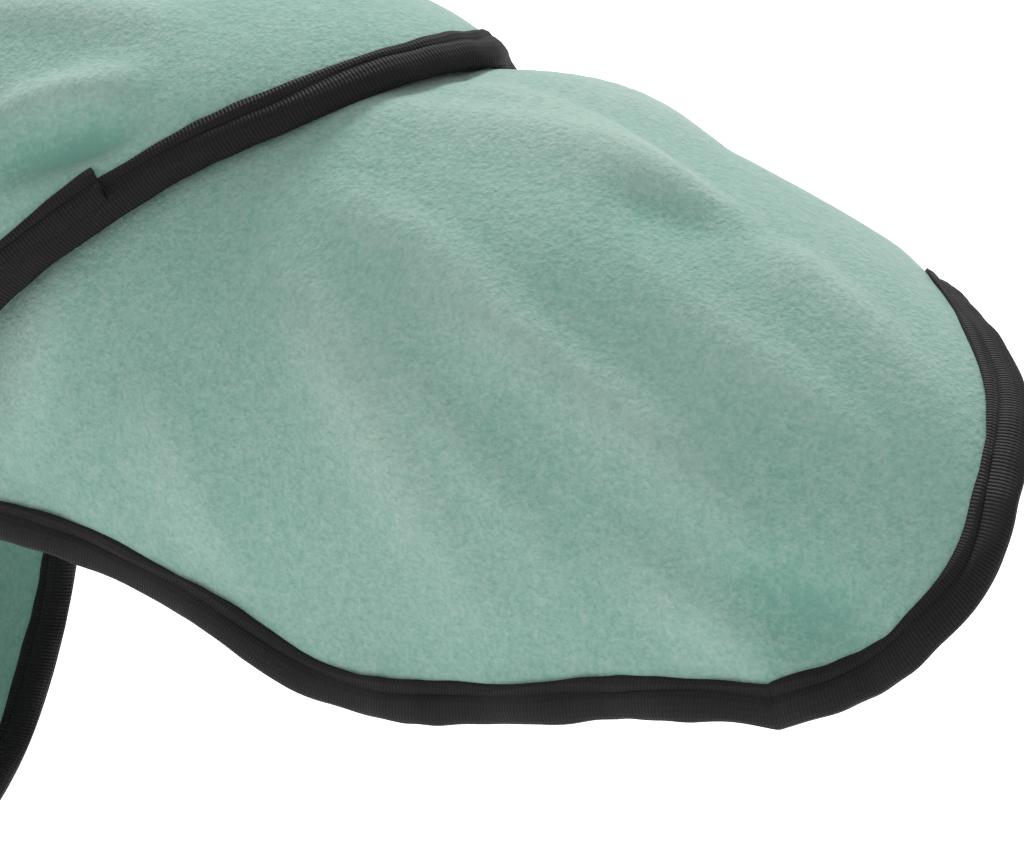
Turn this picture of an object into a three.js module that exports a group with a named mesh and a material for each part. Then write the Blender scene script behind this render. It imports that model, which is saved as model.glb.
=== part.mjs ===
// A fleece dog rug cut like a horse blanket, worn and filled out with no wearer inside.
// Millimetres, +X towards the head, +Y towards the animal's left, +Z up.
// The origin is on the top of the back, just behind the middle of the rug, where the back holds it up.
import * as THREE from 'three';

const group = new THREE.Group();

// Cloth and tape
const fleeceThickness = 2.6;
const seamGap = 0.35;
const tapeClearance = 0.9;
const tapeThickness = 0.9;
const tapeWidth = 11;

// The rug as it lies over a general round back
const backHalfWidth = 96;
const rumpNarrowing = 0.24;
const shoulderNarrowing = 18;
const backDepth = 115;
const shoulderRise = 14;
const bellyDepth = 185;
const hemFlare = 0.0016;
const tailDroopRadius = 565;
const tailX = -260;
const neckX = 350;
const seamX = 400;

// The cut
const neckShare = 0.475;
const chestReach = 72;
const chestNeckDip = 62;
const chestHemDip = 58;

// Distance from the back seam line to the hem, measured round the body, at each station
const hemLine = [
  { x: -270, around: 108 },
  { x: -180, around: 150 },
  { x: -110, around: 189 },
  { x: -55, around: 205 },
  { x: 0, around: 194 },
  { x: 60, around: 189 },
  { x: 150, around: 191 },
  { x: 280, around: 198 },
  { x: 410, around: 200 },
];

// Tail edge of the cut, which lies a little over to the left: its station at each share of the way
// from the back line to the hem, right side negative
const tailLine = [
  { share: -1, x: -112 },
  { share: -0.9, x: -138 },
  { share: -0.6, x: -158 },
  { share: -0.36, x: -176 },
  { share: -0.16, x: -214 },
  { share: 0, x: -236 },
  { share: 0.25, x: -252 },
  { share: 0.55, x: -260 },
  { share: 0.8, x: -250 },
  { share: 0.93, x: -234 },
  { share: 1, x: -212 },
];

// Soft folds that the pull of the wrap sets up in the flap behind it, on both sides.
// A negative height is a hollow.
const folds = [
  { fromX: 0, fromAround: 46, toX: -232, toAround: 30, bow: 22, width: 11, height: 2.4 },
  { fromX: -18, fromAround: 4, toX: -124, toAround: 8, bow: 8, width: 10, height: 2.6 },
  { fromX: -106, fromAround: 26, toX: -156, toAround: 8, bow: 0, width: 11, height: -2.2 },
  { fromX: -10, fromAround: 88, toX: -120, toAround: 156, bow: 0, width: 12, height: 2.0 },
  { fromX: -122, fromAround: 98, toX: -204, toAround: 98, bow: 4, width: 11, height: 2.2 },
  { fromX: -196, fromAround: 106, toX: -232, toAround: 96, bow: 0, width: 10, height: -2.2 },
  { fromX: 48, fromAround: 114, toX: 68, toAround: 160, bow: 0, width: 12, height: 1.8 },
  { fromX: -4, fromAround: -52, toX: -210, toAround: -70, bow: -14, width: 12, height: 2.2 },
  { fromX: 6, fromAround: -92, toX: -110, toAround: -160, bow: 0, width: 12, height: 2.0 },
  { fromX: -118, fromAround: -104, toX: -206, toAround: -100, bow: -4, width: 11, height: 2.2 },
];

// The wrap: its two long edges, and how far it stands off the body, at each angle round the body.
// 0 is the top of the back, 90 the left side, 180 the belly and 270 the right side.
const wrapLine = [
  { angle: -60, rear: 24, front: 118, off: 7 },
  { angle: -30, rear: 0, front: 140, off: 7 },
  { angle: -10, rear: -20, front: 154, off: 7 },
  { angle: 20, rear: -4, front: 172, off: 8 },
  { angle: 45, rear: 36, front: 194, off: 8 },
  { angle: 70, rear: 80, front: 222, off: 11 },
  { angle: 100, rear: 132, front: 256, off: 14 },
  { angle: 135, rear: 172, front: 290, off: 10 },
  { angle: 180, rear: 194, front: 312, off: 0 },
  { angle: 230, rear: 210, front: 322, off: -5 },
  { angle: 255, rear: 214, front: 322, off: -6.5 },
  { angle: 285, rear: 214, front: 322, off: -6.5 },
];
const wrapBulge = 12;
const wrapBulgeRun = 26;

// Smooth curve through one column of a table
function along(table, key, column, at) {
  const last = table.length - 1;
  let i = 0;
  while (i < last - 1 && at > table[i + 1][key]) {
    i += 1;
  }
  const slopeAt = (k) => {
    const low = Math.max(k - 1, 0);
    const high = Math.min(k + 1, last);
    return (table[high][column] - table[low][column]) / (table[high][key] - table[low][key]);
  };
  const span = table[i + 1][key] - table[i][key];
  const t = THREE.MathUtils.clamp((at - table[i][key]) / span, 0, 1);
  const t2 = t * t;
  const t3 = t2 * t;
  return (2 * t3 - 3 * t2 + 1) * table[i][column]
    + (t3 - 2 * t2 + t) * span * slopeAt(i)
    + (3 * t2 - 2 * t3) * table[i + 1][column]
    + (t3 - t2) * span * slopeAt(i + 1);
}

// Section of the back at a station: height of the top, half width, and depth to the widest point
function sectionAt(x) {
  const towardsNeck = THREE.MathUtils.smoothstep(x, 220, 400);
  return {
    top: fleeceThickness / 2 + (x < 0 ? -x * x / (2 * tailDroopRadius) : shoulderRise * towardsNeck),
    halfWidth: x < 0
      ? backHalfWidth * (1 - rumpNarrowing * (x / tailX) ** 2)
      : backHalfWidth - shoulderNarrowing * towardsNeck,
    depth: backDepth - shoulderNarrowing * towardsNeck,
  };
}

// Height that the folds add to the flap
function foldHeight(x, around) {
  let height = 0;
  for (const fold of folds) {
    const runX = fold.toX - fold.fromX;
    const runAround = fold.toAround - fold.fromAround;
    const length = Math.hypot(runX, runAround);
    const share = ((x - fold.fromX) * runX + (around - fold.fromAround) * runAround) / length ** 2;
    if (share > 0 && share < 1) {
      const bow = fold.bow * Math.sin(Math.PI * share);
      const aside = ((around - fold.fromAround) * runX - (x - fold.fromX) * runAround) / length;
      const offset = aside + bow * Math.sign(runX || 1);
      height += fold.height * Math.sin(Math.PI * share) * Math.exp(-((offset / fold.width) ** 2));
    }
  }
  return height;
}

// Middle of the back panel's cloth at a station and a distance round from the back line
function backSurface(x, around) {
  const { top, halfWidth, depth } = sectionAt(x);
  const quarter = Math.PI / 2 * Math.sqrt((halfWidth ** 2 + depth ** 2) / 2);
  const reach = Math.abs(around);
  const angle = Math.min(reach / quarter, 1) * Math.PI / 2;
  const hanging = Math.max(reach - quarter, 0);
  const nearHem = hemAt(x) - reach;
  const fade = THREE.MathUtils.smoothstep(nearHem, 10, 34) 
    * THREE.MathUtils.smoothstep(x - tailEdge(around / hemAt(x)), 10, 36);
  const lift = fade * foldHeight(x, around);
  return new THREE.Vector3(
    x,
    Math.sign(around) * ((halfWidth + lift) * Math.sin(angle) + hemFlare * hanging ** 2),
    top - depth + (depth + lift) * Math.cos(angle) - hanging,
  );
}

function hemAt(x) {
  return along(hemLine, 'x', 'around', x);
}

// Tail edge and front edge of the cut, for a share of the way from the back line to the hem
function tailEdge(share) {
  return along(tailLine, 'share', 'x', share);
}

function frontEdge(share) {
  return neckX + (seamX - neckX) * Math.min(Math.abs(share) / neckShare, 1) ** 2;
}

// Station and distance round of a point of the back panel's cut
function backCut(length, share) {
  const x = THREE.MathUtils.lerp(frontEdge(share), tailEdge(share), length);
  return [x, share * hemAt(x)];
}

// Middle of the chest panel's cloth: turn runs from the left seam to the right one, fall from the neck down
function chestSurface(turn, fall) {
  const share = THREE.MathUtils.lerp(neckShare, 1, fall);
  const seam = backSurface(seamX, share * hemAt(seamX));
  const swing = Math.PI * turn;
  const dip = THREE.MathUtils.lerp(chestNeckDip, chestHemDip, fall);
  return new THREE.Vector3(
    seamX + chestReach * Math.sin(swing),
    seam.y * Math.cos(swing),
    seam.z - dip * Math.sin(swing) ** 2,
  );
}

// Middle of the wrap's cloth at a station and an angle round the body
function wrapSurface(x, angle) {
  const { halfWidth, top, depth } = sectionAt(Math.max(x, 0));
  const rear = along(wrapLine, 'angle', 'rear', angle);
  const front = along(wrapLine, 'angle', 'front', angle);
  const overBack = THREE.MathUtils.smoothstep(angle, -75, -50) * THREE.MathUtils.smoothstep(-angle, -95, -40);
  const swell = (1 - Math.exp(-Math.max(x - rear, 0) / wrapBulgeRun))
    * (1 - Math.exp(-Math.max(front - x, 0) / wrapBulgeRun));
  const off = along(wrapLine, 'angle', 'off', angle) + wrapBulge * overBack * swell;
  const turn = THREE.MathUtils.degToRad(angle);
  const reach = Math.cos(turn) > 0 ? depth : bellyDepth;
  const sink = x < 0 ? x * x / (2 * tailDroopRadius) : 0;
  return new THREE.Vector3(
    x,
    (halfWidth + off) * Math.sin(turn),
    top - sink - depth + (reach + off) * Math.cos(turn),
  );
}

// Outward unit normal of a surface, its sign set so that it points away from the body
function normalAt(surface, a, b, sign) {
  const stepA = 0.001 * (surface === chestSurface ? 1 : 200);
  const stepB = 0.001 * (surface === chestSurface ? 1 : 200);
  const alongA = surface(a + stepA, b).sub(surface(a - stepA, b));
  const alongB = surface(a, b + stepB).sub(surface(a, b - stepB));
  return alongA.cross(alongB).normalize().multiplyScalar(sign);
}

// Closed wall of cloth from a grid of surface places
function clothWall(name, surface, sign, rows, columns, placeAt, colour) {
  const half = fleeceThickness / 2;
  const outer = [];
  const inner = [];
  for (let i = 0; i <= rows; i += 1) {
    for (let j = 0; j <= columns; j += 1) {
      const [a, b] = placeAt(i / rows, j / columns);
      const point = surface(a, b);
      const normal = normalAt(surface, a, b, sign);
      outer.push(point.clone().addScaledVector(normal, half));
      inner.push(point.clone().addScaledVector(normal, -half));
    }
  }
  const wide = columns + 1;
  const count = outer.length;
  const index = [];
  const quad = (p, q, r, s) => index.push(p, q, r, p, r, s);
  for (let i = 0; i < rows; i += 1) {
    for (let j = 0; j < columns; j += 1) {
      const k = i * wide + j;
      quad(k, k + 1, k + wide + 1, k + wide);
      quad(count + k, count + k + wide, count + k + wide + 1, count + k + 1);
    }
  }
  for (let i = 0; i < rows; i += 1) {
    const left = i * wide;
    const right = left + columns;
    quad(left, left + wide, count + left + wide, count + left);
    quad(right, count + right, count + right + wide, right + wide);
  }
  for (let j = 0; j < columns; j += 1) {
    const low = j;
    const high = rows * wide + j;
    quad(low, count + low, count + low + 1, low + 1);
    quad(high, high + 1, count + high + 1, count + high);
  }
  addSolid(name, [...outer, ...inner], index, colour, 0.95);
}

// Adds a closed mesh, turned the right way out
function addSolid(name, points, index, colour, roughness) {
  let volume = 0;
  for (let k = 0; k < index.length; k += 3) {
    const [p, q, r] = [points[index[k]], points[index[k + 1]], points[index[k + 2]]];
    volume += p.dot(q.clone().cross(r)) / 6;
  }
  const turned = volume < 0 ? index.slice().reverse() : index;
  const geometry = new THREE.BufferGeometry().setFromPoints(points);
  geometry.setIndex(turned);
  geometry.computeVertexNormals();
  const material = new THREE.MeshStandardMaterial({ color: colour, roughness, metalness: 0 });
  const mesh = new THREE.Mesh(geometry, material);
  mesh.name = name;
  group.add(mesh);
}

// Places along the edge of a surface, with the outward normal and the place one tape width in from it
function edgeStations(surface, sign, places, inwardHint) {
  return places.map(([a, b], k) => {
    const here = surface(a, b);
    const normal = normalAt(surface, a, b, sign);
    const [a0, b0] = places[Math.max(k - 1, 0)];
    const [a1, b1] = places[Math.min(k + 1, places.length - 1)];
    const forward = surface(a1, b1).sub(surface(a0, b0)).normalize();
    const inward = normal.clone().cross(forward).normalize();
    const [hintA, hintB] = inwardHint(a, b);
    if (inward.dot(surface(hintA, hintB).sub(here)) < 0) {
      inward.negate();
    }
    return { here, normal, inward, deep: stepAlong(surface, a, b, here, inward), surface, sign };
  });
}

// Point of the surface one tape width from a place in a direction, with the normal there
function stepAlong(surface, a, b, here, direction) {
  const size = surface === chestSurface ? 0.001 : 0.2;
  const alongA = surface(a + size, b).sub(surface(a - size, b)).divideScalar(2 * size);
  const alongB = surface(a, b + size).sub(surface(a, b - size)).divideScalar(2 * size);
  const aa = alongA.dot(alongA);
  const ab = alongA.dot(alongB);
  const bb = alongB.dot(alongB);
  const da = direction.dot(alongA) * tapeWidth;
  const db = direction.dot(alongB) * tapeWidth;
  const area = aa * bb - ab * ab;
  return [a + (da * bb - db * ab) / area, b + (db * aa - da * ab) / area];
}

// Folded tape: a channel over the edge of the cloth, open towards the cloth
function foldedTape(name, stations, closed) {
  const clear = fleeceThickness / 2 + tapeClearance;
  const reach = clear + tapeThickness;
  const points = [];
  for (const { here, normal, inward, deep, surface, sign } of stations) {
    const top = surface(deep[0], deep[1]);
    const topNormal = normalAt(surface, deep[0], deep[1], sign);
    const at = (base, up, side, out) => base.clone().addScaledVector(up, side).addScaledVector(inward, -out);
    points.push(
      at(top, topNormal, clear, 0),
      at(top, topNormal, reach, 0),
      at(here, normal, reach, 0),
      at(here, normal, 0.55 * reach, reach),
      at(here, normal, -0.55 * reach, reach),
      at(here, normal, -reach, 0),
      at(top, topNormal, -reach, 0),
      at(top, topNormal, -clear, 0),
      at(here, normal, -clear, 0),
      at(here, normal, -clear, tapeClearance),
      at(here, normal, clear, tapeClearance),
      at(here, normal, clear, 0),
    );
  }
  const ring = 12;
  const index = [];
  const spans = closed ? stations.length : stations.length - 1;
  for (let k = 0; k < spans; k += 1) {
    const base = k * ring;
    const next = ((k + 1) % stations.length) * ring;
    for (let m = 0; m < ring; m += 1) {
      const n = (m + 1) % ring;
      index.push(base + m, next + m, next + n, base + m, next + n, base + n);
    }
  }
  if (!closed) {
    const caps = [[0, 1, 2, 11], [11, 2, 3, 10], [10, 3, 4, 9], [9, 4, 5, 8], [8, 5, 6, 7]];
    const end = (stations.length - 1) * ring;
    for (const [p, q, r, s] of caps) {
      index.push(p, q, r, p, r, s);
      index.push(end + p, end + r, end + q, end + p, end + s, end + r);
    }
  }
  addSolid(name, points, index, tapeColour, 0.8);
}

const fleeceColour = 0x93b4a9;
const tapeColour = 0x282425;

// Back panel, in columns closer together towards the hem
const spread = (share) => {
  const side = 2 * share - 1;
  return Math.sign(side) * (1 - (1 - Math.abs(side)) ** 1.25);
};
const panelRows = 25;
const panelColumns = 26;
clothWall('back_panel', backSurface, 1, panelRows, panelColumns, (length, share) => backCut(length, spread(share)), fleeceColour);

// Chest panel, short of the two seams by the seam gap
const seamShare = seamGap / (Math.PI * chestReach);
const chestRows = 14;
clothWall('chest_panel', chestSurface, 1, chestRows, 6,
  (turn, fall) => [THREE.MathUtils.lerp(seamShare, 1 - seamShare, turn), fall], fleeceColour);

// Belly wrap
const wrapFrom = wrapLine[0].angle;
const wrapTo = wrapLine[wrapLine.length - 1].angle;
const wrapPlace = (turn, across) => {
  const angle = THREE.MathUtils.lerp(wrapFrom, wrapTo, turn);
  const rear = along(wrapLine, 'angle', 'rear', angle);
  const front = along(wrapLine, 'angle', 'front', angle);
  return [THREE.MathUtils.lerp(rear, front, across), angle];
};
const wrapRows = 48;
const wrapColumns = 10;
clothWall('belly_wrap', wrapSurface, 1, wrapRows, wrapColumns, wrapPlace, fleeceColour);

// Hem binding: down the left side, round the tail, up the right side and across the chest.
// It keeps to the panels' own stations, so that it stays clear of them all the way.
const range = (count) => Array.from({ length: count + 1 }, (_, k) => k / count);
const leftHem = range(panelRows).map((t) => backCut(t, 1));
const tailHem = range(panelColumns).slice(1, -1).map((t) => backCut(1, spread(1 - t)));
const rightHem = range(panelRows).map((t) => backCut(1 - t, -1));
const chestHem = range(chestRows).slice(1, -1).map((t) => [1 - t, 1]);
foldedTape('hem_binding', [
  ...edgeStations(backSurface, 1, [...leftHem, ...tailHem, ...rightHem], (x, around) => [x * 0.97, around * 0.97]),
  ...edgeStations(chestSurface, 1, chestHem, (turn) => [turn, 0.95]),
], true);

// Neck binding: over the back of the neck and round the chest
const neckSteps = 16;
const backNeck = range(neckSteps).map((t) => backCut(0, neckShare * (1 - 2 * t)));
const chestNeck = range(chestRows).slice(1, -1).map((t) => [1 - t, 0]);
foldedTape('neck_binding', [
  ...edgeStations(backSurface, 1, backNeck, (x, around) => [x - 5, around]),
  ...edgeStations(chestSurface, 1, chestNeck, (turn) => [turn, 0.05]),
], true);

// Wrap binding: from the root along the front edge, round the end and back along the rear edge
const boundRows = 46;
const boundStations = range(boundRows).map((t) => t * boundRows / wrapRows);
const frontRun = boundStations.slice().reverse().map((t) => wrapPlace(t, 1));
const endRun = range(wrapColumns).slice(1, -1).map((t) => wrapPlace(0, 1 - t));
const rearRun = boundStations.map((t) => wrapPlace(t, 0));
const wrapMiddle = (x, angle) => {
  const rear = along(wrapLine, 'angle', 'rear', angle);
  const front = along(wrapLine, 'angle', 'front', angle);
  return [x + 0.05 * ((rear + front) / 2 - x), angle + (angle < 0 ? 0.3 : 0)];
};
foldedTape('wrap_binding', edgeStations(wrapSurface, 1, [...frontRun, ...endRun, ...rearRun], wrapMiddle), false);

export default group;
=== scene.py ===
import bmesh
import bpy
import math
import numpy as np
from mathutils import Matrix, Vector


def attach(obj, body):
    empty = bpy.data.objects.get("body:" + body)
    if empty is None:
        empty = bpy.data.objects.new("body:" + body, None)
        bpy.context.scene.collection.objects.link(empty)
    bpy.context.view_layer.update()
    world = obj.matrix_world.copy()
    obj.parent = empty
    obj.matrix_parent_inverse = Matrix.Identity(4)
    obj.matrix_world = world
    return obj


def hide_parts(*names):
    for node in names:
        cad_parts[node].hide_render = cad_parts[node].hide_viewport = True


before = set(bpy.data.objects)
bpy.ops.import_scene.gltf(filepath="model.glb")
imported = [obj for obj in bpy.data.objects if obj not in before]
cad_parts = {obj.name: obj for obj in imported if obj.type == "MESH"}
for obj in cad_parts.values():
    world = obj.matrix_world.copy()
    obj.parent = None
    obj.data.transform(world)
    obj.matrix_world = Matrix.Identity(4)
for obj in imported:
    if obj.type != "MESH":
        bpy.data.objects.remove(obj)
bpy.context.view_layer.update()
FINE = 1.0  # share of the full mesh density

# ---------------------------------------------------------------- back panel
# One U-shaped panel of brushed fleece, cut from neck to tail and hung over both sides.
# The wrap pulls it in behind the shoulders, which sets up soft folds that fan out to the tail.
MM = 0.001
FLEECE = 2.6
HALF_WIDTH, BACK_DEPTH, BELLY_DEPTH = 96.0, 115.0, 185.0
TAIL_X, NECK_X, SEAM_X, DROOP_RADIUS, NECK_SHARE = -260.0, 350.0, 400.0, 565.0, 0.475
# station, distance round from the back line to the hem
HEM_LINE = [(-270, 108), (-180, 150), (-110, 189), (-55, 205), (0, 194),
            (60, 189), (150, 191), (280, 198), (410, 200)]
# share of the way to the hem, station of the tail edge, which lies a little over to the left
TAIL_LINE = [(-1, -112), (-0.9, -138), (-0.6, -158), (-0.36, -176), (-0.16, -214), (0, -236), (0.25, -252),
             (0.55, -260), (0.8, -250), (0.93, -234), (1, -212)]
FOLD_GAIN = 1.35
# from station, from round, to station, to round, bow, width, height
FOLDS = [
    (14, 36, -240, 30, 24, 10, 3.2), (-18, 4, -130, 10, 8, 9, 3.4), (-96, 26, -160, 6, 0, 11, -3.6),
    (-10, 82, -126, 160, 0, 10, 3.0), (-60, 84, -208, 100, 6, 10, 3.0), (-186, 108, -238, 96, 0, 11, -3.4),
    (56, 104, 66, 170, 0, 10, 2.6), (20, 128, -30, 184, 0, 11, 2.2), (-40, 100, -150, 140, 4, 9, 2.0),
    (-150, 118, -210, 124, 0, 9, 2.4), (-120, 44, -232, 58, 0, 9, 1.6), (-14, 62, -120, 84, 4, 8, 2.0),
    (-16, -14, -84, -60, 0, 17, 4.2), (-4, -52, -210, -70, -14, 12, 2.4), (6, -92, -110, -160, 0, 11, 2.6),
    (-118, -104, -206, -100, -4, 11, 2.6), (60, -110, 40, -170, 0, 11, 2.0),
    (230, 60, 330, 120, 0, 14, 2.0), (230, -70, 320, -130, 0, 13, 2.2),
]


def smooth(x, low, high):
    t = np.clip((x - low) / (high - low), 0, 1)
    return t * t * (3 - 2 * t)


def through(table, column, at):
    """Smooth curve through one column of a table whose first column is the place."""
    at = np.asarray(at, float)
    key = np.array([row[0] for row in table], float)
    value = np.array([row[column] for row in table], float)
    low = np.r_[key[0], key[:-1]]
    high = np.r_[key[1:], key[-1]]
    slope = (np.r_[value[1:], value[-1]] - np.r_[value[0], value[:-1]]) / (high - low)
    i = np.clip(np.searchsorted(key, at) - 1, 0, len(key) - 2)
    span = key[i + 1] - key[i]
    t = np.clip((at - key[i]) / span, 0, 1)
    return ((2 * t**3 - 3 * t**2 + 1) * value[i] + (t**3 - 2 * t**2 + t) * span * slope[i]
            + (3 * t**2 - 2 * t**3) * value[i + 1] + (t**3 - t**2) * span * slope[i + 1])


def hem_at(x):
    return through(HEM_LINE, 1, x)


def section(x):
    neck = smooth(x, 220, 400)
    top = FLEECE / 2 + np.where(x < 0, -x * x / (2 * DROOP_RADIUS), 14 * neck)
    half = np.where(x < 0, HALF_WIDTH * (1 - 0.24 * (x / TAIL_X) ** 2), HALF_WIDTH - 18 * neck)
    return top, half, BACK_DEPTH - 18 * neck


def fold_height(x, around):
    height = np.zeros(np.broadcast(x, around).shape)
    for x0, r0, x1, r1, bow, width, tall in FOLDS:
        dx, dr = x1 - x0, r1 - r0
        length = math.hypot(dx, dr)
        share = np.clip(((x - x0) * dx + (around - r0) * dr) / length**2, 0, 1)
        bowed = bow * np.sin(math.pi * share) * (1 if dx >= 0 else -1)
        aside = ((around - r0) * dx - (x - x0) * dr) / length + bowed
        flank = np.where(aside > 0, 0.8, 1.35) * width
        height += FOLD_GAIN * tall * np.sin(math.pi * share) ** 0.8 * np.exp(-((aside / flank) ** 2))
    return height


def back_surface(x, around):
    x, around = np.asarray(x, float), np.asarray(around, float)
    top, half, depth = section(x)
    quarter = math.pi / 2 * np.sqrt((half**2 + depth**2) / 2)
    reach = np.abs(around)
    angle = np.minimum(reach / quarter, 1) * math.pi / 2
    hanging = np.maximum(reach - quarter, 0)
    fade = smooth(hem_at(x) - reach, 4, 26) * smooth(x - through(TAIL_LINE, 1, around / hem_at(x)), 4, 30)
    lift = fade * fold_height(x, around) + 0.5 * np.sin(x / 17 + 1.3 * np.sin(around / 23)) * fade
    sway = (1 - fade) * 1.1 * np.sin(around / 9.0 + x / 12.0)
    return np.stack([x, np.sign(around) * ((half + lift + sway) * np.sin(angle) + 0.0016 * hanging**2),
                     top - depth + (depth + lift) * np.cos(angle) - hanging], -1)


def front_edge(share):
    return NECK_X + (SEAM_X - NECK_X) * np.minimum(np.abs(share) / NECK_SHARE, 1) ** 2


def back_cut(length, share):
    tail = through(TAIL_LINE, 1, share)
    x = front_edge(share) * (1 - length) + tail * length
    return x, share * hem_at(x)


class Maths:
    """A shader value that takes part in plain Python sums."""

    def __init__(self, tree, socket):
        self.tree, self.socket = tree, socket

    def join(self, kind, other):
        node = self.tree.nodes.new("ShaderNodeMath")
        node.operation = kind
        for slot, item in zip(node.inputs, (self, other)):
            if isinstance(item, Maths):
                self.tree.links.new(item.socket, slot)
            else:
                slot.default_value = item
        return Maths(self.tree, node.outputs[0])

    def __add__(self, other):
        return self.join("ADD", other)

    def __mul__(self, other):
        return self.join("MULTIPLY", other)

    def __sub__(self, other):
        return self.join("SUBTRACT", other)

    __radd__, __rmul__ = __add__, __mul__


def node(tree, kind, settings=None, **inputs):
    made = tree.nodes.new(kind)
    for name, value in (settings or {}).items():
        setattr(made, name, value)
    for name, value in inputs.items():
        slot = made.inputs[name.replace("_", " ")]
        if isinstance(value, Maths):
            tree.links.new(value.socket, slot)
        elif isinstance(value, bpy.types.NodeSocket):
            tree.links.new(value, slot)
        else:
            slot.default_value = value
    return made


def new_material(name):
    material = bpy.data.materials.new(name)
    material.use_nodes = True
    tree = material.node_tree
    return material, tree, tree.nodes["Principled BSDF"]


def fleece_material():
    """Short curly nap about a millimetre across, with painted highlight on the fold ridges and painted shade in the
    fold hollows.
    """
    material, tree, shader = new_material("brushed_fleece")
    place = tree.nodes.new("ShaderNodeTexCoord").outputs["Object"]

    def noise(scale, detail, roughness=0.5):
        made = node(tree, "ShaderNodeTexNoise", Vector=place, Scale=scale, Detail=detail, Roughness=roughness)
        return Maths(tree, made.outputs["Fac"])

    curl, clump, patch = noise(620.0, 3.0, 0.6), noise(230.0, 2.0), noise(16.0, 2.0)
    lift = Maths(tree, node(tree, "ShaderNodeAttribute", {"attribute_name": "lift"}).outputs["Fac"])
    # the lift term paints light into the colour: fold ridges paler as painted highlight, fold hollows darker as
    # painted shade
    tone = (curl - 0.5) * 1.5 + (clump - 0.5) * 0.6 + (patch - 0.5) * 0.35 + lift * 0.085 + 0.43
    mix = node(tree, "ShaderNodeMix", {"data_type": "RGBA"}, Factor=tone)
    mix.inputs[6].default_value = (0.165, 0.355, 0.290, 1)
    mix.inputs[7].default_value = (0.350, 0.500, 0.440, 1)
    tree.links.new(mix.outputs[2], shader.inputs["Base Color"])
    height = curl * 0.6 + clump * 0.4
    bump = node(tree, "ShaderNodeBump", Height=height, Strength=0.9, Distance=0.0012)
    tree.links.new(bump.outputs["Normal"], shader.inputs["Normal"])
    shader.inputs["Roughness"].default_value = 0.95
    shader.inputs["Specular IOR Level"].default_value = 0.15
    shader.inputs["Sheen Weight"].default_value = 0.35
    shader.inputs["Sheen Roughness"].default_value = 0.55
    return material


fleece = fleece_material()


def normals(surface, a, b, step_a, step_b):
    along_a = surface(a + step_a, b) - surface(a - step_a, b)
    along_b = surface(a, b + step_b) - surface(a, b - step_b)
    across = np.cross(along_a, along_b)
    return across / np.linalg.norm(across, axis=-1, keepdims=True)


def cloth(name, surface, cut, rows, columns, material, lift=None):
    """A sheet of cloth on a surface, given its real thickness."""
    rows, columns = int(rows * FINE), int(columns * FINE)
    u, v = np.meshgrid(np.linspace(0, 1, rows + 1), np.linspace(0, 1, columns + 1), indexing="ij")
    a, b = cut(u, v)
    points = surface(a, b).reshape(-1, 3) * MM
    k = np.arange(rows)[:, None] * (columns + 1) + np.arange(columns)[None, :]
    faces = np.stack([k, k + 1, k + columns + 2, k + columns + 1], -1).reshape(-1, 4)
    mesh = bpy.data.meshes.new(name)
    mesh.from_pydata(points.tolist(), [], faces.tolist())
    mesh.shade_smooth()
    # fold heights stored as the lift attribute, which drive the painted highlight on ridges and painted shade in
    # hollows of the fleece colour
    heights = np.zeros(len(points)) if lift is None else lift(a, b).reshape(-1)
    mesh.attributes.new("lift", "FLOAT", "POINT").data.foreach_set("value", heights.astype(np.float32))
    mesh.materials.append(material)
    piece = bpy.data.objects.new(name, mesh)
    bpy.context.scene.collection.objects.link(piece)
    wall = piece.modifiers.new("thickness", "SOLIDIFY")
    wall.thickness, wall.offset = FLEECE * MM, 0
    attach(piece, "root")
    return piece


def spread(share):
    side = 2 * share - 1
    return np.sign(side) * (1 - (1 - np.abs(side)) ** 1.25)


back_panel = cloth("back_panel_cloth", back_surface, lambda u, v: back_cut(u, spread(v)),
                   190, 150, fleece, fold_height)
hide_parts("back_panel")

# ---------------------------------------------------------------- chest panel
# A plain bib of the same fleece, sewn to both fronts of the back panel with a flat seam.


def chest_surface(turn, fall):
    turn, fall = np.asarray(turn, float), np.asarray(fall, float)
    share = NECK_SHARE * (1 - fall) + fall
    seam = back_surface(np.full_like(share, SEAM_X), share * hem_at(SEAM_X))
    swing = math.pi * turn
    dip = 62 * (1 - fall) + 58 * fall
    ripple = 1.2 * np.sin(5 * swing + 3 * fall) * np.sin(swing)
    return np.stack([SEAM_X + (72 + ripple) * np.sin(swing), seam[..., 1] * np.cos(swing),
                     seam[..., 2] - dip * np.sin(swing) ** 2], -1)


chest_panel = cloth("chest_panel_cloth", chest_surface, lambda u, v: (0.0015 + 0.997 * u, v), 70, 44, fleece)
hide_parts("chest_panel")

# ---------------------------------------------------------------- belly wrap
# A long fleece band sewn inside the right hem. It passes under the belly, comes up the left side
# and lies over the back, where its end is held down and the cloth swells up beside the tape.
# angle round the body, rear edge, front edge, standoff
WRAP_LINE = [(-60, 24, 118, 5.2), (-30, 2, 140, 5.2), (-10, -19, 154, 5), (20, -4, 172, 5.4), (45, 36, 194, 7),
             (70, 80, 222, 11), (100, 132, 256, 14), (135, 172, 290, 10), (180, 194, 312, 0),
             (230, 210, 322, -5), (255, 214, 322, -6.5), (285, 214, 322, -6.5)]
# from station, from angle, to station, to angle, width in mm, height
WRAP_FOLDS = [(86, 50, 40, 36, 6, -7.5), (98, 43, 46, 29, 7, 4.5), (150, 27, 46, 17, 9, 4.5),
              (60, -30, 20, 0, 18, 1.5),
              (110, 60, 150, 95, 12, 2.2), (200, 110, 230, 150, 12, 1.8), (240, 190, 262, 240, 12, 2.0)]
DEGREE = 1.85  # millimetres round the body to one degree


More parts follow.
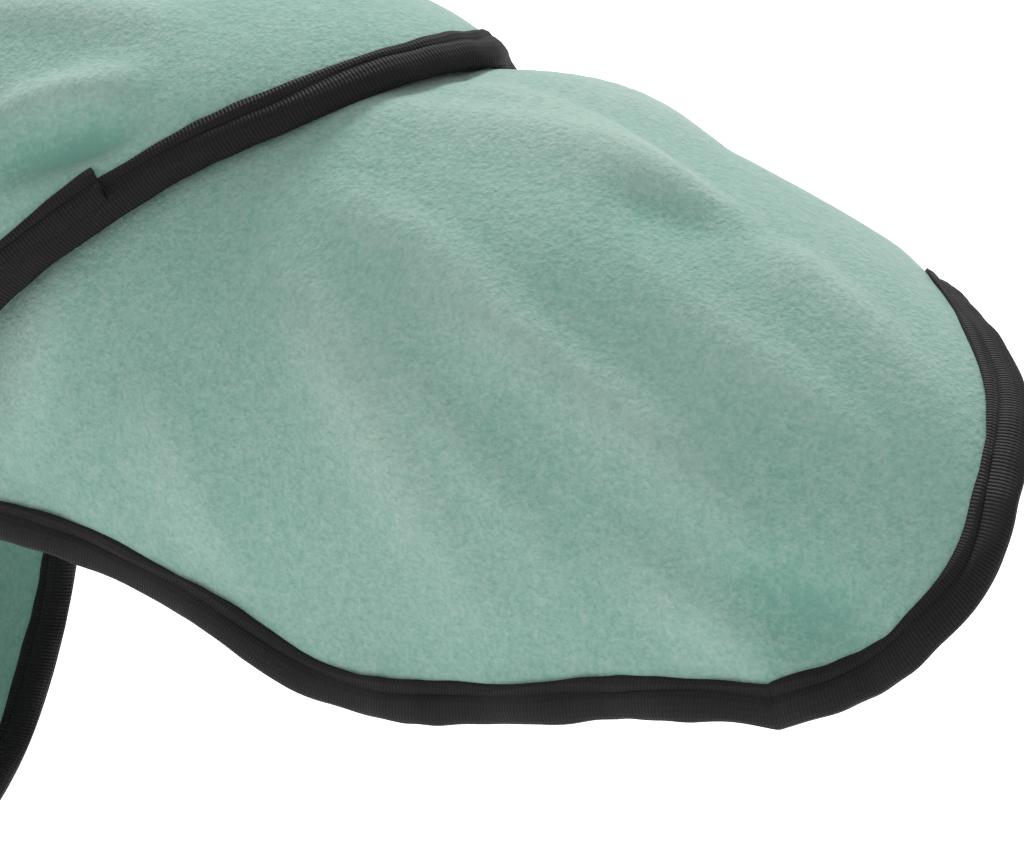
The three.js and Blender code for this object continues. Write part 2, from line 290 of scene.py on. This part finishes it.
def wrap_lift(x, angle):
    height = np.zeros(np.broadcast(x, angle).shape)
    for x0, a0, x1, a1, width, tall in WRAP_FOLDS:
        dx, da = x1 - x0, (a1 - a0) * DEGREE
        length = math.hypot(dx, da)
        share = np.clip(((x - x0) * dx + (angle - a0) * DEGREE * da) / length**2, 0, 1)
        aside = ((angle - a0) * DEGREE * dx - (x - x0) * da) / length
        height += tall * np.sin(math.pi * share) * np.exp(-((aside / width) ** 2))
    return height


def wrap_surface(x, angle):
    x, angle = np.asarray(x, float), np.asarray(angle, float)
    top, half, depth = section(np.maximum(x, 0))
    rear, front = through(WRAP_LINE, 1, angle), through(WRAP_LINE, 2, angle)
    over = smooth(angle, -75, -50) * (1 - smooth(angle, 40, 95))
    swell = (1 - np.exp(-np.maximum(x - rear, 0) / 20)) * (1 - np.exp(-np.maximum(front - x, 0) / 26))
    near_edge = smooth(np.minimum(x - rear, front - x), 8, 24)
    off = through(WRAP_LINE, 3, angle) + 13 * over * swell + near_edge * wrap_lift(x, angle)
    turn = np.radians(angle)
    reach = np.where(np.cos(turn) > 0, depth, BELLY_DEPTH)
    sink = np.where(x < 0, x * x / (2 * DROOP_RADIUS), 0)
    return np.stack([x, (half + off) * np.sin(turn), top - sink - depth + (reach + off) * np.cos(turn)], -1)


def wrap_place(turn, across):
    angle = -60 + 345 * turn
    rear, front = through(WRAP_LINE, 1, angle), through(WRAP_LINE, 2, angle)
    return rear * (1 - across) + front * across, angle


belly_wrap = cloth("belly_wrap_cloth", wrap_surface, wrap_place, 260, 60, fleece, wrap_lift)
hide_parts("belly_wrap")

# ---------------------------------------------------------------- hem tape
# Black ribbed tape folded over the outer edge of both panels and sewn through with one row
# of stitches. It puckers where it turns round the tail.


def tape_material():
    material, tree, shader = new_material("ribbed_tape")
    uv = tree.nodes.new("ShaderNodeUVMap")
    uv.uv_map = "tape"
    parts = node(tree, "ShaderNodeSeparateXYZ", Vector=uv.outputs["UV"])
    run, across = Maths(tree, parts.outputs["X"]), Maths(tree, parts.outputs["Y"])
    slant = run * (2 * math.pi / 1.15) + across * 1.6
    rib = slant.join("SINE", 0.0)
    weft = (across * (2 * math.pi / 0.9)).join("SINE", 0.0)
    grain = node(tree, "ShaderNodeTexNoise", Vector=uv.outputs["UV"], Scale=2.4, Detail=3.0)
    fuzz = Maths(tree, grain.outputs["Fac"])
    mix = node(tree, "ShaderNodeMix", {"data_type": "RGBA"}, Factor=rib * 0.22 + fuzz * 0.7 + 0.05)
    mix.inputs[6].default_value = (0.002, 0.0017, 0.0018, 1)
    mix.inputs[7].default_value = (0.017, 0.013, 0.014, 1)
    tree.links.new(mix.outputs[2], shader.inputs["Base Color"])
    bump = node(tree, "ShaderNodeBump", Height=rib * 0.5 + weft * 0.15 + fuzz * 0.5, Strength=0.8, Distance=0.0005)
    tree.links.new(bump.outputs["Normal"], shader.inputs["Normal"])
    shader.inputs["Roughness"].default_value = 0.72
    shader.inputs["Specular IOR Level"].default_value = 0.3
    return material


ribbed = tape_material()


def running_mean(values, reach):
    """Eases a run of values by averaging each with the same number on either side."""
    return np.convolve(np.pad(values, reach, "edge"), np.ones(2 * reach + 1) / (2 * reach + 1), "valid")


def edge_frames(surface, a, b, hint_a, hint_b, step_a, step_b):
    """Edge point, outward normal, inward direction and the surface one tape width in."""
    here = surface(a, b)
    up = normals(surface, a, b, step_a, step_b)
    forward = np.gradient(here, axis=0)
    forward = np.stack([running_mean(c, 9) for c in forward.T], 1)
    inward = np.cross(up, forward)
    inward /= np.linalg.norm(inward, axis=-1, keepdims=True)
    inward *= np.sign(np.sum(inward * (surface(hint_a, hint_b) - here), -1, keepdims=True))
    da = (surface(a + step_a, b) - surface(a - step_a, b)) / (2 * step_a)
    db = (surface(a, b + step_b) - surface(a, b - step_b)) / (2 * step_b)
    aa, ab, bb = (da * da).sum(-1), (da * db).sum(-1), (db * db).sum(-1)
    ia, ib = (inward * da).sum(-1), (inward * db).sum(-1)
    area = aa * bb - ab * ab
    return [here, up, inward, (a, b, (ia * bb - ib * ab) / area, (ib * aa - ia * ab) / area, surface, step_a, step_b)]


# Half of the folded tape's outline, from its sewn edge to the fold: share of the way in from the
# edge, and height over the middle of the cloth. The dip is the groove that the stitches pull in.
TAPE_OUT = [(1.0, 1.5), (1.0, 2.3), (0.86, 2.65), (0.70, 2.5), (0.66, 2.15), (0.60, 2.75), (0.40, 3.2),
            (0.18, 3.1), (0.0, 2.6), (-0.13, 1.6), (-0.18, 0.0)]


def folded_tape(name, runs, closed, width=11.0, raise_by=0.0, pucker=0.35):
    ring = TAPE_OUT + [(s, -h) for s, h in TAPE_OUT[-2::-1]]
    rows, lengths = [], []
    travelled, last = 0.0, None
    for here, up, inward, (a, b, ta, tb, surface, step_a, step_b) in runs:
        row = []
        gap = np.r_[0, np.cumsum(np.linalg.norm(np.diff(here, axis=0), axis=1))]
        start = travelled + (0 if last is None else np.linalg.norm(here[0] - last))
        s = start + gap
        travelled, last = s[-1], here[-1]
        wave = np.sin(s / 2.9 + 2 * np.sin(s / 13)) * 0.6 + np.sin(s / 7.3 + 1.1 * np.sin(s / 31))
        for m, (share, height) in enumerate(ring):
            side = np.sign(height)
            grow = 1 + 0.05 * np.sin(s / 11 + m)
            reach = max(share, 0) * width * grow + (0.35 * pucker * wave if share > 0.9 else 0)
            rough = np.linalg.norm(surface(a + ta * reach, b + tb * reach) - here, axis=-1)
            reach = reach * np.where(reach > 0, reach / np.maximum(rough, 0.01), 1)
            base = surface(a + ta * reach, b + tb * reach)
            lifted = height + side * (raise_by + pucker * wave * (0.5 if share < 0.9 else 0.15))
            upward = normals(surface, a + ta * reach, b + tb * reach, step_a, step_b)
            out = base + upward * lifted[:, None]
            if share < 0:
                out = out + inward * (share * width + 0.5 * pucker * wave[:, None])
            row.append(out)
        rows.append(np.stack(row, 1))
        lengths.append(s)
    grid, run = np.concatenate(rows), np.concatenate(lengths)
    count, wide = grid.shape[0], grid.shape[1]
    faces, uvs = [], []
    spans = count if closed else count - 1
    for k in range(spans):
        n = (k + 1) % count
        run_n = run[n] if n else run[-1] + 1.5
        for m in range(wide):
            q = (m + 1) % wide
            faces.append((k * wide + m, n * wide + m, n * wide + q, k * wide + q))
            top = q if q else wide
            uvs += [(run[k], m), (run_n, m), (run_n, top), (run[k], top)]
    if not closed:
        for k in (0, count - 1):
            for m in range(wide // 2):
                faces.append((k * wide + m, k * wide + m + 1, k * wide + wide - 2 - m, k * wide + wide - 1 - m))
                uvs += [(run[k], m)] * 4
    mesh = bpy.data.meshes.new(name)
    mesh.from_pydata((grid.reshape(-1, 3) * MM).tolist(), [], faces)
    layer = mesh.uv_layers.new(name="tape")
    layer.data.foreach_set("uv", np.array(uvs, np.float32).ravel())
    shape = bmesh.new()
    shape.from_mesh(mesh)
    bmesh.ops.recalc_face_normals(shape, faces=shape.faces)
    shape.to_mesh(mesh)
    shape.free()
    mesh.shade_smooth()
    mesh.materials.append(ribbed)
    piece = bpy.data.objects.new(name, mesh)
    bpy.context.scene.collection.objects.link(piece)
    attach(piece, "root")
    return piece


def back_run(lengths, shares):
    a, b = back_cut(lengths, shares)
    a, b = running_mean(a, 6), running_mean(b, 6)
    return edge_frames(back_surface, a, b, a * 0.97, b * 0.97, 0.2, 0.2)


side = np.linspace(0, 1, int(420 * FINE))
round_tail = np.cos(np.linspace(0, math.pi, int(360 * FINE)))[1:-1]
hem_cut = [np.r_[side, np.ones(len(round_tail)), side[::-1]],
           np.r_[np.ones(len(side)), round_tail, -np.ones(len(side))]]
chest_turn = np.linspace(1, 0, int(160 * FINE))[1:-1]
ones = np.ones(len(chest_turn))
hem_tape = folded_tape("hem_tape", [back_run(*hem_cut), edge_frames(
    chest_surface, chest_turn, ones * 0.999, chest_turn, ones * 0.95, 0.0005, 0.0005)], True, pucker=0.5)
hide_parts("hem_binding")

# ---------------------------------------------------------------- neck tape
# The same tape folded over the neck edge, over the back of the neck and round the chest.
neck_share = NECK_SHARE * np.linspace(1, -1, int(180 * FINE))
neck_a, neck_b = back_cut(np.zeros(len(neck_share)), neck_share)
neck_tape = folded_tape("neck_tape", [
    edge_frames(back_surface, neck_a, neck_b, neck_a - 5, neck_b, 0.2, 0.2),
    edge_frames(chest_surface, chest_turn, ones * 0.001, chest_turn, ones * 0.05, 0.0005, 0.0005)], True)
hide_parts("neck_binding")

# ---------------------------------------------------------------- wrap tape
# The same tape round the three free edges of the wrap. A second tape end is lapped over it on
# the rear edge, left of the back, and stops at a folded cut end.
turn = np.linspace(0, 46 / 48, int(520 * FINE))
end = np.linspace(1, 0, int(70 * FINE))[1:-1]
place = [np.r_[turn[::-1], np.zeros(len(end)), turn], np.r_[np.ones(len(turn)), end, np.zeros(len(turn))]]
wrap_a, wrap_b = wrap_place(*place)
middle_a, middle_b = wrap_place(place[0] + 0.002, 0.05 + 0.9 * place[1])
wrap_tape = folded_tape("wrap_tape", [edge_frames(
    wrap_surface, wrap_a, wrap_b, middle_a, middle_b, 0.2, 0.2)], False, pucker=0.55)
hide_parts("wrap_binding")
LAP_SET_BACK = 4.5
lap_turn = np.linspace(107.5 / 345, 170 / 345, int(130 * FINE))
lap_a, lap_b = wrap_place(lap_turn, np.zeros(len(lap_turn)))
lap_middle = wrap_place(lap_turn, 0.05 + 0 * lap_turn)
lap_tape = folded_tape("lapped_tape_end", [edge_frames(
    wrap_surface, lap_a + LAP_SET_BACK, lap_b, lap_middle[0] + LAP_SET_BACK, lap_middle[1], 0.2, 0.2)],
    False, width=9.5, raise_by=0.7)

# ---------------------------------------------------------------- floor, light and camera
# A plain white floor below the rug, a broad soft light from above and a fill from the left.
bpy.ops.mesh.primitive_plane_add(size=30, location=(0, 0, -0.42))
floor = bpy.context.object
paint, floor_tree, floor_shader = new_material("white_floor")
floor_shader.inputs["Base Color"].default_value = (0.9, 0.9, 0.9, 1)
floor_shader.inputs["Roughness"].default_value = 1.0
floor_shader.inputs["Emission Color"].default_value = (1, 1, 1, 1)
floor_shader.inputs["Emission Strength"].default_value = 0.6
floor.data.materials.append(paint)

world = bpy.data.worlds.new("studio")
bpy.context.scene.world = world
world.use_nodes = True
world.node_tree.nodes["Background"].inputs[0].default_value = (1, 1, 1, 1)
world.node_tree.nodes["Background"].inputs[1].default_value = 0.5


def soft_light(name, place_at, power, size):
    data = bpy.data.lights.new(name, "AREA")
    data.energy, data.size = power, size
    lamp = bpy.data.objects.new(name, data)
    lamp.location = place_at
    lamp.rotation_mode = "QUATERNION"
    lamp.rotation_quaternion = (-Vector(place_at)).to_track_quat("-Z", "Y")
    bpy.context.scene.collection.objects.link(lamp)


soft_light("key", (0.9, -1.1, 1.6), 42, 0.6)
soft_light("fill", (-1.6, 1.4, 0.9), 9, 1.6)

bpy.context.scene.view_settings.view_transform = "Standard"
camera_data = bpy.data.cameras.new("camera")
camera = bpy.data.objects.new("camera", camera_data)
bpy.context.scene.collection.objects.link(camera)
bpy.context.scene.camera = camera
aside, above, far = math.radians(48), math.radians(17), 2.4
back = Vector((-math.cos(aside) * math.cos(above), math.sin(aside) * math.cos(above), math.sin(above)))
camera.location = back * far
camera.rotation_mode = "QUATERNION"
right = Vector((-math.sin(aside), -math.cos(aside), 0))
aim = right * 0.0334 - back.cross(right) * 0.1033
camera.rotation_quaternion = (aim - camera.location).to_track_quat("-Z", "Y")
camera_data.sensor_width, camera_data.lens = 36, 282.7
camera_data.clip_end = 60
